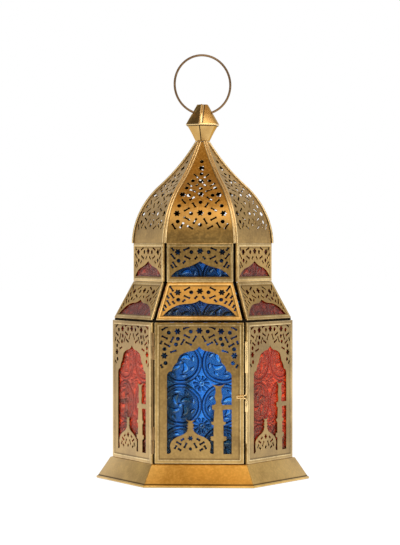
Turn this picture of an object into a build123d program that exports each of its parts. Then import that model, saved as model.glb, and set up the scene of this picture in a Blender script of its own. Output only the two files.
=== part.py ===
from build123d import *
from math import atan2, cos, degrees, hypot, radians, sin, sqrt, tan
import os

os.makedirs("parts", exist_ok=True)

# A hexagonal lantern of fretted brass trays and coloured glass. Its hexagons have corners at
# 0, 60, 120 ... degrees, so that a flat side faces the front, -Y. Radii are taken at the corners.
sides = ("front", "front_right", "back_right", "back", "back_left", "front_left")
corner_turn = 60
half_turn = 30
inwards = Vector(0, 1, 0)

# Tiers from the floor up. Each tier takes its radius from the one that it meets.
body_radius = 64.2
base_lip = 0.8
base_flare = 10.0
shoulder_step = 1.0
shoulder_run = 13.5
dome_overhang = 0.2
neck_radius = 5.1
base_height = 15.2
body_height = 96.3
waist_height = 2.2
shoulder_height = 25.1
collar_height = 26.6
dome_height = 71.4

# Sheet, glass and clearances
sheet_thickness = 0.6
rim_width = 3.2
rim_rise = 0.6
glass_thickness = 1.7
mitre_clearance = 0.2
glass_clearance = 0.3
door_clearance = 0.4
stop_clearance = 0.2
pin_clearance = 0.06

# Base, floor and candle cup
base_sheet = 0.8
hem_height = 1.6
hem_width = 2.6
hem_step = 0.6
floor_thickness = 0.9
floor_inset = 5.4
ledge_lap = 3.2
cup_radius = 19.6
cup_wall = 0.6
cup_height = 7.0

# Waist ring and corner posts
waist_inset = 2.3
waist_width = 4.6
post_leaf = 3.4

# Tabs that hold a pane
tab_width = 5.0
tab_reach = 3.0

# Dome: the ogee leaves the foot almost upright and turns at these shares of its radius and height
dome_turn_radius_share = 0.617
dome_turn_height_share = 0.563
dome_foot_lean = 1.0
lower_flats = 4
upper_flats = 2
petal_seam = 0.1
petal_rim = 1.9
petal_flange = 4.0

# Finial of two folded cones, turned on the dome, and the wire ring through the upper one
finial_turn = 21.0
finial_radius = 12.2
finial_foot_height = 11.3
finial_lip = 0.8
finial_cone_height = 13.7
finial_top_radius = 4.0
spigot_radius = 2.6
spigot_length = 4.0
ring_radius = 20.6
ring_wire_radius = 0.85
ring_hole_share = 0.6
ring_hole_clearance = 0.4

# Hinge pin and knuckles in the left groove, latch wire and knuckles in the right one
wire_radius = 0.5
knuckle_wall = 0.4
knuckle_web = 0.9
knuckle_sides = 8
hinge_inset = 0.9
hinge_knuckle = 9.0
hinge_margin = 7.0
knuckle_gap = 0.3
latch_inset = 0.2
latch_upper_foot = 62.1
latch_upper_length = 21.3
latch_lower_foot = 35.8
latch_lower_length = 7.4
latch_finger_height = 45.9
latch_finger_reach = 5.3
latch_finger_half = 1.05
latch_finger_proud = 1.0
latch_crook = 0.9
latch_crook_height = 4.2
latch_tail = 14.3

# Fretwork: six-sided stars, square dots and straight bones. Places are shares of the half width at
# the foot of the panel and of its height, for the right half: those off the middle come twice.
star_radius = 2.15
star_sides = 6
dot_radius = 1.35
dot_sides = 4
bone_length = 4.7
bone_width = 1.25
body_star_shares = ((0, 0.936), (0.498, 0.931), (0.804, 0.759))
body_dot_shares = ((0.196, 0.930),)
body_bone_shares = ((0.284, 0.896, 27), (0.700, 0.850, -62))
shoulder_star_shares = ((0, 0.78), (0.51, 0.75))
shoulder_dot_shares = ((0.20, 0.76),)
shoulder_bone_shares = ((0.295, 0.62, 25),)
collar_star_shares = ((0, 0.795), (0.68, 0.77))
collar_dot_shares = ()
collar_bone_shares = ((0.39, 0.63, 25),)
dome_star_shares = ((0, 0.292), (0.647, 0.288), (0, 0.475), (0, 0.609), (0, 0.737))
dome_dot_shares = ((0.264, 0.289), (0, 0.399))
dome_bone_shares = ((0.372, 0.235, 27), (0.465, 0.406, 50), (0.727, 0.167, 55), (0.284, 0.158, 30))

# Windows. The right half of an arch runs from the sill over its cusps and the crowns between them to
# the tip: shares of the half width and of the height. Each foil has one crown, because the panels
# come six times.
body_arch_shares = (
    (0.727, 0.077),
    (0.727, 0.640),
    (0.684, 0.672),
    (0.614, 0.687),
    (0.547, 0.742),
    (0.436, 0.772),
    (0.352, 0.792),
    (0.237, 0.794),
    (0.088, 0.812),
    (0, 0.834),
)
shoulder_arch_shares = ((0.85, 0.119), (0.69, 0.29), (0.50, 0.40), (0.24, 0.445), (0, 0.53))
collar_arch_shares = ((0.88, 0.13), (0.79, 0.25), (0.67, 0.32), (0.34, 0.42), (0, 0.545))

# The mosque dome and the minaret stand on the sill of a body window, as shares of its half width
# and of the height from the sill to the tip of the arch.
mosque_place_share = -0.285
mosque_shares = (
    (0.57, 0),
    (0.63, 0.070),
    (0.53, 0.130),
    (0.16, 0.185),
    (0.07, 0.215),
    (0.07, 0.290),
    (0.14, 0.318),
    (0, 0.305),
)
minaret_place_share = 0.593
minaret_storey_shares = (
    (0, 0.610, 0.130),
    (0.125, 0.162, 0.250),
    (0.275, 0.302, 0.228),
    (0.415, 0.455, 0.200),
    (0.610, 0.645, 0.220),
)
arm_shares = (0.415, 0.455)

# Radii and levels
base_top_radius = body_radius + base_lip
base_radius = base_top_radius + base_flare
floor_radius = body_radius - floor_inset
shoulder_radius = body_radius - shoulder_step
collar_radius = shoulder_radius - shoulder_run
dome_radius = collar_radius + dome_overhang
body_foot = base_height
body_head = body_foot + body_height
shoulder_foot = body_head + waist_height
shoulder_head = shoulder_foot + shoulder_height
collar_head = shoulder_head + collar_height
dome_head = collar_head + dome_height
lip_foot = dome_head + finial_foot_height
cone_foot = lip_foot + finial_lip
cone_head = cone_foot + finial_cone_height
fold = rim_rise + sheet_thickness + glass_thickness


def apothem(radius):
    """Distance from the axis to a flat side."""
    return radius * cos(radians(half_turn))


def hexagon_at(height, radius):
    with BuildSketch(Plane.XY.offset(height)) as hexagon:
        RegularPolygon(radius, len(sides))
    return hexagon.sketch


def flare(foot, foot_radius, head, head_radius, mode=Mode.ADD):
    """A hexagon that narrows or widens between two levels; one that widens is drawn upside down."""
    slope = degrees(atan2(apothem(abs(foot_radius - head_radius)), head - foot))
    if foot_radius > head_radius:
        extrude(hexagon_at(foot, foot_radius), amount=head - foot, taper=slope, mode=mode)
    else:
        with BuildPart(mode=Mode.PRIVATE) as flipped:
            extrude(hexagon_at(-head, head_radius), amount=head - foot, taper=slope)
        mirror(flipped.part, about=Plane.XY, mode=mode)


def save(part, name):
    part.label = name
    export_step(part, f"parts/{name}.step")


def save_round(part, family):
    """Write the six copies of a front piece, one for each side."""
    for count, side in enumerate(sides):
        with BuildPart() as piece:
            add(part, rotation=(0, 0, corner_turn * count))
        save(piece.part, f"{family}_{side}")


class TierSide:
    """The front panel of one tier: its plane, its outline and how deep it is folded back."""

    def __init__(self, foot_radius, head_radius, foot, head, depth=fold):
        run = apothem(foot_radius - head_radius)
        lean = atan2(run, head - foot)
        self.length = hypot(run, head - foot)
        self.level = 1 / cos(lean)
        self.depth = depth * self.level
        self.setback = (fold * self.level + mitre_clearance) * tan(radians(half_turn))
        self.half_foot = foot_radius / 2 - self.setback
        self.half_head = head_radius / 2 - self.setback
        self.origin = Vector(0, -apothem(foot_radius), foot)
        self.normal = Vector(0, -cos(lean), sin(lean))
        self.face = self.behind(0)

    def behind(self, depth):
        """The plane that lies this far behind the face, moved level inwards."""
        return Plane(self.origin + inwards * (depth * self.level), x_dir=(1, 0, 0), z_dir=self.normal)

    def outline(self, margin=0, foot_margin=0, head_margin=0):
        """Corners of the panel, drawn in by these margins."""
        foot_half = self.half_foot - margin
        head_half = self.half_head - margin
        head = self.length - head_margin
        return ((-foot_half, foot_margin), (foot_half, foot_margin), (head_half, head), (-head_half, head))

    def place(self, shares):
        return (shares[0] * self.half_foot, shares[1] * self.length)


def both_hands(across):
    """A place on the middle line comes once, any other one comes left and right."""
    return (1, -1) if across else (1,)


def fret_holes(plane, width, height, stars, dots, bones):
    with BuildSketch(plane) as holes:
        for across, up in stars:
            for hand in both_hands(across):
                with Locations((hand * across * width, up * height)):
                    RegularPolygon(star_radius, star_sides)
        for across, up in dots:
            for hand in both_hands(across):
                with Locations((hand * across * width, up * height)):
                    RegularPolygon(dot_radius, dot_sides)
        for across, up, lean in bones:
            for hand in both_hands(across):
                with Locations((hand * across * width, up * height)):
                    Rectangle(bone_length, bone_width, rotation=hand * lean)
    return holes.sketch


def arch_window(side, arch):
    """A cusped window: the right half of the arch is drawn and mirrored, over a straight sill."""
    with BuildSketch(side.face) as window:
        with BuildLine():
            Polyline(*[side.place(shares) for shares in arch])
            mirror(about=Plane.YZ)
            Line(side.place((-arch[0][0], arch[0][1])), side.place(arch[0]))
        make_face()
    return window.sketch


def body_window(side):
    """The cusped window with the mosque dome and the minaret left standing in it."""
    half, sill = side.place(body_arch_shares[0])
    tall = side.place(body_arch_shares[-1])[1] - sill
    mosque = mosque_place_share * half
    mosque_points = [(mosque + across * half, sill + up * tall) for across, up in mosque_shares]
    with BuildSketch(side.face) as window:
        with BuildLine():
            Polyline(*[side.place(shares) for shares in body_arch_shares])
            mirror(about=Plane.YZ)
            Line((-half, sill), (half, sill))
        make_face()
        with BuildLine():
            Polyline(*mosque_points)
            mirror(about=Plane.YZ.offset(mosque))
            Line((2 * mosque - mosque_points[0][0], sill), mosque_points[0])
        make_face(mode=Mode.SUBTRACT)
        for low, high, breadth in minaret_storey_shares:
            with Locations((minaret_place_share * half, sill + (low + high) / 2 * tall)):
                Rectangle(2 * breadth * half, (high - low) * tall, mode=Mode.SUBTRACT)
        arm = (1 - minaret_place_share) * half
        with Locations((half - arm / 2, sill + sum(arm_shares) / 2 * tall)):
            Rectangle(arm, (arm_shares[1] - arm_shares[0]) * tall, mode=Mode.SUBTRACT)
    return window.sketch


def fret_tray(side, window, holes, tabs=False):
    """A pressed tray: folded returns, a raised rim and a sunk, fretted sheet."""
    with BuildPart() as tray:
        with BuildSketch(side.face):
            Polygon(*side.outline(), align=None)
        extrude(amount=side.depth, dir=inwards)
        with BuildSketch(side.face):
            Polygon(*side.outline(rim_width, rim_width, rim_width), align=None)
        extrude(amount=rim_rise * side.level, dir=inwards, mode=Mode.SUBTRACT)
        with BuildSketch(side.behind(rim_rise + sheet_thickness)):
            Polygon(*side.outline(sheet_thickness, sheet_thickness, sheet_thickness), align=None)
        extrude(amount=side.depth, dir=inwards, mode=Mode.SUBTRACT)
        for cut in (window, holes):
            extrude(cut, amount=fold * side.level, dir=inwards, mode=Mode.SUBTRACT)
        if tabs:
            for middle in (tab_reach / 2, side.length - tab_reach / 2):
                with BuildSketch(side.behind(fold)):
                    with Locations((0, middle)):
                        Rectangle(tab_width, tab_reach)
                extrude(amount=sheet_thickness * side.level, dir=inwards)
            for middle in (sheet_thickness / 2, side.length - sheet_thickness / 2):
                with BuildSketch(side.behind(rim_rise + sheet_thickness)):
                    with Locations((0, middle)):
                        Rectangle(tab_width, sheet_thickness)
                extrude(amount=glass_thickness * side.level, dir=inwards)
    return tray.part


def pane(side, margin):
    """A pane that lies against the back of the fretted sheet and stands on the lower return."""
    with BuildPart() as plate:
        with BuildSketch(side.behind(rim_rise + sheet_thickness)):
            Polygon(*side.outline(margin, sheet_thickness, sheet_thickness + glass_clearance), align=None)
        extrude(amount=glass_thickness * side.level, dir=inwards)
    return plate.part


# Base skirt: a flared hexagon with a folded hem under it and a ledge at the top
ledge_foot = base_height - base_sheet
with BuildPart() as base_skirt:
    extrude(hexagon_at(0, base_radius), amount=hem_height)
    flare(hem_height, base_radius - hem_step, base_height, base_top_radius)
    flare(0, base_radius - hem_width, ledge_foot, base_top_radius - hem_width + hem_step, Mode.SUBTRACT)
    extrude(hexagon_at(ledge_foot, floor_radius - ledge_lap), amount=base_sheet, mode=Mode.SUBTRACT)
save(base_skirt.part, "base_skirt")

# Floor plate on the ledge, and the candle cup on the plate
with BuildPart() as floor_plate:
    extrude(hexagon_at(base_height, floor_radius), amount=floor_thickness)
save(floor_plate.part, "floor_plate")

with BuildPart() as candle_cup:
    with BuildSketch(Plane.XY.offset(base_height + floor_thickness)):
        Circle(cup_radius + cup_wall)
    extrude(amount=cup_height)
    with BuildSketch(Plane.XY.offset(base_height + floor_thickness + cup_wall)):
        Circle(cup_radius)
    extrude(amount=cup_height - cup_wall, mode=Mode.SUBTRACT)
save(candle_cup.part, "candle_cup")

# Corner posts: folded angles behind the seams, which trap the fixed panes and stop the door
post_corner = body_radius - fold / cos(radians(half_turn))
post_inner = post_corner - sheet_thickness / cos(radians(half_turn))
leaf_run = Vector(post_leaf, 0, 0).rotate(Axis.Z, 2 * corner_turn)
leaf_turn = Vector(sheet_thickness, 0, 0).rotate(Axis.Z, half_turn)
leaf_end = Vector(post_corner, 0, 0) + leaf_run
with BuildPart() as corner_post:
    with BuildSketch(Plane.XY.offset(body_foot)):
        with BuildLine():
            Polyline((post_inner, 0), leaf_end - leaf_turn, leaf_end, (post_corner, 0))
            mirror(about=Plane.XZ)
        make_face()
    extrude(amount=body_height)
for count in range(len(sides)):
    with BuildPart() as post:
        add(corner_post.part, rotation=(0, 0, corner_turn * count))
    save(post.part, f"corner_post_{count + 1}")

# Body panels and panes, with the door in front
body = TierSide(body_radius, body_radius, body_foot, body_head)
body_holes = fret_holes(
    body.face, body.half_foot, body.length, body_star_shares, body_dot_shares, body_bone_shares
)
body_panel = fret_tray(body, body_window(body), body_holes)
body_pane = pane(body, sheet_thickness + glass_clearance)
for count, side in enumerate(sides[1:], start=1):
    with BuildPart() as panel:
        add(body_panel, rotation=(0, 0, corner_turn * count))
    save(panel.part, f"body_panel_{side}")
    with BuildPart() as plate:
        add(body_pane, rotation=(0, 0, corner_turn * count))
    save(plate.part, f"body_pane_{side}")

door_foot = body_foot + door_clearance
door_head = body_head - door_clearance
door = TierSide(body_radius, body_radius, door_foot, door_head, fold - stop_clearance)
door_holes = fret_holes(
    door.face, door.half_foot, door.length, body_star_shares, body_dot_shares, body_bone_shares
)
save(fret_tray(door, body_window(door), door_holes, tabs=True), "door_panel")
leaf_half = (apothem(body_radius) - fold) * tan(radians(half_turn)) - post_leaf
save(pane(door, door.half_foot - leaf_half + door_clearance), "door_pane")

# Waist ring: the recessed band between the body and the shoulder
with BuildPart() as waist_ring:
    waist_radius = body_radius - waist_inset
    extrude(hexagon_at(body_head, waist_radius), amount=waist_height)
    extrude(hexagon_at(body_head, waist_radius - waist_width), amount=waist_height, mode=Mode.SUBTRACT)
save(waist_ring.part, "waist_ring")

# Shoulder and collar panels and panes
shoulder = TierSide(shoulder_radius, collar_radius, shoulder_foot, shoulder_head)
shoulder_holes = fret_holes(
    shoulder.face,
    shoulder.half_foot,
    shoulder.length,
    shoulder_star_shares,
    shoulder_dot_shares,
    shoulder_bone_shares,
)
shoulder_window = arch_window(shoulder, shoulder_arch_shares)
save_round(fret_tray(shoulder, shoulder_window, shoulder_holes, tabs=True), "shoulder_panel")
save_round(pane(shoulder, sheet_thickness + glass_clearance), "shoulder_pane")

collar = TierSide(collar_radius, collar_radius, shoulder_head, collar_head)
collar_holes = fret_holes(
    collar.face, collar.half_foot, collar.length, collar_star_shares, collar_dot_shares, collar_bone_shares
)
collar_window = arch_window(collar, collar_arch_shares)
save_round(fret_tray(collar, collar_window, collar_holes, tabs=True), "collar_panel")
save_round(pane(collar, sheet_thickness + glass_clearance), "collar_pane")


# Dome petals: an ogee sheet between two ridges, sunk between its raised edges
def ogee_layer(thickness, seam):
    """The ogee sheet from its outer face inwards, cut back from both ridges by the seam."""
    section = Plane(origin=(0, 0, collar_head), x_dir=(0, -1, 0), z_dir=(-1, 0, 0))
    foot = (apothem(dome_radius), 0)
    turn = (apothem(dome_radius * dome_turn_radius_share), dome_height * dome_turn_height_share)
    neck = (apothem(neck_radius), dome_height)
    lean = radians(dome_foot_lean)
    with BuildPart() as layer:
        with BuildSketch(section):
            with BuildLine():
                lower = TangentArc(foot, turn, tangent=(-sin(lean), cos(lean)), mode=Mode.PRIVATE)
                upper = TangentArc(turn, neck, tangent=lower % 1, mode=Mode.PRIVATE)
                bends = [(lower, count / lower_flats) for count in range(lower_flats)]
                bends += [(upper, count / upper_flats) for count in range(upper_flats + 1)]
                outer = [arc @ share for arc, share in bends]
                inner = [arc @ share + (arc % share).rotate(Axis.Z, 90) * thickness for arc, share in bends]
                Polyline(*outer, *reversed(inner), close=True)
            make_face()
        extrude(amount=dome_radius, both=True)
        for hand in (1, -1):
            across = Vector(hand * cos(radians(half_turn)), -sin(radians(half_turn)), 0)
            split(bisect_by=Plane(across * seam, z_dir=across), keep=Keep.TOP)
        split(bisect_by=Plane.XY.offset(collar_head), keep=Keep.TOP)
    return layer.part


petal_foot = apothem(dome_radius) - rim_rise
flange_inner = petal_foot - petal_flange
petal_front = Plane(origin=(0, -dome_radius, collar_head), x_dir=(1, 0, 0), z_dir=(0, -1, 0))
petal_holes = fret_holes(
    petal_front, dome_radius / 2, dome_height, dome_star_shares, dome_dot_shares, dome_bone_shares
)
with BuildPart() as dome_petal:
    add(ogee_layer(rim_rise + sheet_thickness, petal_seam))
    add(ogee_layer(rim_rise, petal_seam + petal_rim), mode=Mode.SUBTRACT)
    with BuildSketch(Plane.XY.offset(collar_head)):
        Polygon(
            (-petal_foot * tan(radians(half_turn)) + petal_seam, -petal_foot),
            (petal_foot * tan(radians(half_turn)) - petal_seam, -petal_foot),
            (flange_inner * tan(radians(half_turn)) - petal_seam, -flange_inner),
            (-flange_inner * tan(radians(half_turn)) + petal_seam, -flange_inner),
            align=None,
        )
    extrude(amount=sheet_thickness)
    extrude(petal_holes, amount=dome_radius, dir=inwards, mode=Mode.SUBTRACT)
save_round(dome_petal.part, "dome_petal")


# Finial: two hollow cones, the lower one with a spigot in the throat of the dome
wall = sheet_thickness / cos(radians(half_turn))
lip_inner = finial_radius - wall
with BuildPart() as finial_foot:
    flare(dome_head, neck_radius, lip_foot, finial_radius)
    flare(dome_head + sheet_thickness, neck_radius - wall, lip_foot, lip_inner, Mode.SUBTRACT)
    extrude(hexagon_at(dome_head - spigot_length, spigot_radius), amount=spigot_length)
with BuildPart() as finial_foot_turned:
    add(finial_foot.part, rotation=(0, 0, finial_turn))
save(finial_foot_turned.part, "finial_lower")

hole_height = cone_foot + ring_hole_share * finial_cone_height
ridge_at_hole = finial_radius + (finial_top_radius - finial_radius) * ring_hole_share - wall
with BuildPart() as finial_cone:
    extrude(hexagon_at(lip_foot, finial_radius), amount=finial_lip)
    flare(cone_foot, finial_radius, cone_head, finial_top_radius)
    flare(lip_foot, lip_inner, cone_head - sheet_thickness, finial_top_radius - wall, Mode.SUBTRACT)
    with BuildSketch(Plane.YZ):
        with Locations((0, hole_height)):
            Circle(ring_wire_radius + ring_hole_clearance)
    extrude(amount=finial_radius, both=True, mode=Mode.SUBTRACT)
with BuildPart() as finial_cone_turned:
    add(finial_cone.part, rotation=(0, 0, finial_turn))
save(finial_cone_turned.part, "finial_upper")

# Hanging ring: six-sided wire through both holes of the upper cone
ring_height = hole_height + sqrt(ring_radius**2 - ridge_at_hole**2)
with BuildPart() as ring:
    with BuildSketch(Plane.XY.offset(ring_height)):
        with Locations((ring_radius, 0)):
            RegularPolygon(ring_wire_radius, len(sides))
    revolve(axis=Axis((0, 0, ring_height), (0, 1, 0)))
with BuildPart() as hanging_ring:
    add(ring.part, rotation=(0, 0, finial_turn))
save(hanging_ring.part, "hanging_ring")

# Hinge: two knuckles on the frame, two on the door and one pin, at the left corner of the door
bore = wire_radius + pin_clearance
knuckle = bore + knuckle_wall
hinge_angle = -2 * corner_turn
hinge_axis = Vector(body_radius - hinge_inset, 0, 0).rotate(Axis.Z, hinge_angle)
hinge_reach = body.setback - hinge_inset * cos(radians(corner_turn))


def knuckles(axis, reach, direction, feet, length):
    """Tubes round the axis, each with a web that reaches a panel's return in this direction."""
    web_middle = axis + Vector(reach / 2, 0, 0).rotate(Axis.Z, direction)
    with BuildPart() as tubes:
        for foot in feet:
            with BuildSketch(Plane.XY.offset(foot)):
                with Locations(axis):
                    RegularPolygon(knuckle, knuckle_sides)
                with Locations(web_middle):
                    Rectangle(reach, knuckle_web, rotation=direction)
                with Locations(axis):
                    RegularPolygon(bore, knuckle_sides, major_radius=False, mode=Mode.SUBTRACT)
            extrude(amount=length)
    return tubes.part


upper_knuckle = body_head - hinge_margin - hinge_knuckle
lower_knuckle = body_foot + hinge_margin
step = hinge_knuckle + knuckle_gap
frame_feet = (upper_knuckle, lower_knuckle)
door_feet = (upper_knuckle - step, lower_knuckle + step)
frame_tubes = knuckles(hinge_axis, hinge_reach, 2 * corner_turn, frame_feet, hinge_knuckle)
save(frame_tubes, "hinge_knuckles_frame")
save(knuckles(hinge_axis, hinge_reach, 0, door_feet, hinge_knuckle), "hinge_knuckles_door")
with BuildPart() as hinge_pin:
    with BuildSketch(Plane.XY.offset(lower_knuckle)):
        with Locations(hinge_axis):
            Circle(wire_radius)
    extrude(amount=upper_knuckle + hinge_knuckle - lower_knuckle)
save(hinge_pin.part, "hinge_pin")

# Latch: one wire with a finger over the door, turning in two knuckles at the right corner
latch_axis = Vector(body_radius - latch_inset, 0, 0).rotate(Axis.Z, -corner_turn)
latch_reach = body.setback - latch_inset * cos(radians(corner_turn))
upper_latch = body_foot + latch_upper_foot
lower_latch = body_foot + latch_lower_foot
upper_tube = knuckles(latch_axis, latch_reach, corner_turn, (upper_latch,), latch_upper_length)
lower_tube = knuckles(latch_axis, latch_reach, corner_turn, (lower_latch,), latch_lower_length)
with BuildPart() as latch_knuckles:
    add(upper_tube)
    add(lower_tube)
save(latch_knuckles.part, "latch_knuckles")

finger = body_foot + latch_finger_height
finger_face = -apothem(body_radius) - latch_finger_proud
crook = latch_axis.X - latch_crook
tip = latch_axis.X - latch_finger_reach
tube_top = lower_latch + latch_lower_length
wire_points = (
    (latch_axis.X, latch_axis.Y, upper_latch + latch_upper_length),
    (latch_axis.X, latch_axis.Y, finger + latch_crook_height),
    (crook, finger_face, finger + latch_finger_half),
    (tip, finger_face, finger + latch_finger_half),
    (tip, finger_face, finger - latch_finger_half),
    (crook, finger_face, finger - latch_finger_half),
    (latch_axis.X, latch_axis.Y, tube_top + wire_radius),
    (latch_axis.X, latch_axis.Y, body_foot + latch_tail),
)
with BuildPart() as latch_wire:
    with BuildLine() as wire_path:
        Polyline(*wire_points)
    with BuildSketch(Plane(origin=wire_path.line @ 0, z_dir=wire_path.line % 0)):
        RegularPolygon(wire_radius, len(sides))
    sweep(transition=Transition.RIGHT)
save(latch_wire.part, "latch_wire")
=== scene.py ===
import cmath
from math import atan2, cos, hypot, pi, radians, sin, tan

import bmesh
import bpy
from mathutils import Matrix, Vector


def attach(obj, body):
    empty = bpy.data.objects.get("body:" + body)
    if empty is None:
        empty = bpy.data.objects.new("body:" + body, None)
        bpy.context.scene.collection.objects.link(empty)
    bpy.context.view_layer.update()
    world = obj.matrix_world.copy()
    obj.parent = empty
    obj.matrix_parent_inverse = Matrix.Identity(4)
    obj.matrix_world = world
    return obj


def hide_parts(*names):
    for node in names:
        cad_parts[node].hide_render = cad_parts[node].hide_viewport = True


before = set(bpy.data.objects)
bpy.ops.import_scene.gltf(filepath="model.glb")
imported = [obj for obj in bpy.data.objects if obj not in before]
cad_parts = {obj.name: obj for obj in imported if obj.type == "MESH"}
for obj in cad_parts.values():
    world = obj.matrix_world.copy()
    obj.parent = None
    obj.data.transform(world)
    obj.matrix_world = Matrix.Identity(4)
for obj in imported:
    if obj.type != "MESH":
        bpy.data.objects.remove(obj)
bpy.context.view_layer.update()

scene = bpy.context.scene
scene.view_settings.view_transform = "Standard"

# Shapes are drawn in millimetres and put in place in metres.
mm = 0.001
sides = ("front", "front_right", "back_right", "back", "back_left", "front_left")

# Camera of the photograph: far off, level with the shoulder, a little to the right
camera_turn, camera_pan = radians(2.37), radians(0.066)
camera_dip = 0.751
camera_distance, camera_height = 1.582, 0.1655
camera_lens = 148.7
camera = bpy.data.objects.new("camera", bpy.data.cameras.new("camera"))
scene.collection.objects.link(camera)
camera.location = (camera_distance * sin(camera_turn), -camera_distance * cos(camera_turn), camera_height)
camera.rotation_euler = (radians(90 - camera_dip), 0, camera_turn + camera_pan)
camera.data.lens = camera_lens
scene.camera = camera


# Shader sums


class Value:
    """A socket of a shader tree that is used like a number."""

    def __init__(self, tree, socket):
        self.tree = tree
        self.socket = socket

    def make(self, kind, settings=None, sockets=None, output=0):
        """Any other node: its settings first, then the values or links of its sockets."""
        node = self.tree.nodes.new(kind)
        for key, value in (settings or {}).items():
            setattr(node, key, value)
        for key, value in (sockets or {}).items():
            socket = node.inputs[key]
            if isinstance(value, Value):
                self.tree.links.new(value.socket, socket)
            elif socket.type == "RGBA" and len(value) == 3:
                socket.default_value = (*value, 1)
            else:
                socket.default_value = value
        return Value(self.tree, node.outputs[output]) if len(node.outputs) else None

    def math(self, operation, *others):
        """A sum that starts from this value."""
        return self.make("ShaderNodeMath", {"operation": operation}, dict(enumerate((self, *others))))

    def __add__(self, other):
        return self.math("ADD", other)

    __radd__ = __add__

    def __sub__(self, other):
        return self.math("SUBTRACT", other)

    def __rsub__(self, other):
        return self.make("ShaderNodeMath", {"operation": "SUBTRACT"}, {0: other, 1: self})

    def __mul__(self, other):
        return self.math("MULTIPLY", other)

    __rmul__ = __mul__

    def __truediv__(self, other):
        return self.math("DIVIDE", other)

    def least(self, other):
        return self.math("MINIMUM", other)

    def most(self, other):
        return self.math("MAXIMUM", other)

    def size(self):
        return self.math("ABSOLUTE")

    def parts(self):
        """The three numbers of this vector."""
        node = self.make("ShaderNodeSeparateXYZ", None, {0: self}).socket.node
        return [Value(self.tree, output) for output in node.outputs]

    def between(self, low, high):
        """0 below the low end, 1 above the high end and smooth between them."""
        span = {"interpolation_type": "SMOOTHSTEP"}
        return self.make("ShaderNodeMapRange", span, {0: self, 1: low, 2: high})

    def blend(self, first, second):
        """The first colour where this is 0, the second where it is 1."""
        return self.make("ShaderNodeMix", {"data_type": "RGBA"}, {0: self, 6: first, 7: second}, 2)


def new_material(name):
    """A material, the start of its nodes, and the place on the piece in metres."""
    material = bpy.data.materials.new(name)
    material.use_nodes = True
    material.node_tree.nodes.clear()
    here = Value(material.node_tree, None)
    return material, here, here.make("ShaderNodeTexCoord", output="Object")


def finish_material(here, sockets):
    shader = here.make("ShaderNodeBsdfPrincipled", None, sockets)
    here.make("ShaderNodeOutputMaterial", None, {0: shader})


def length_of(x, y):
    return (x * x + y * y).math("SQRT")


def noise(place, size, detail=3.0, rough=0.55):
    """Cloudy noise whose patches are about this many millimetres across."""
    return place.make("ShaderNodeTexNoise", None, {0: place, 2: 1 / (size * mm), 3: detail, 4: rough})


# Colours of the painted shade and dark seams, and of worn edges with painted highlight
shade_and_seam_tone, wear_and_highlight_tone = (0.02, 0.013, 0.006), (0.86, 0.68, 0.36)
# Millimetres in one unit of a tray's UV map
sheet_unit = 100


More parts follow.
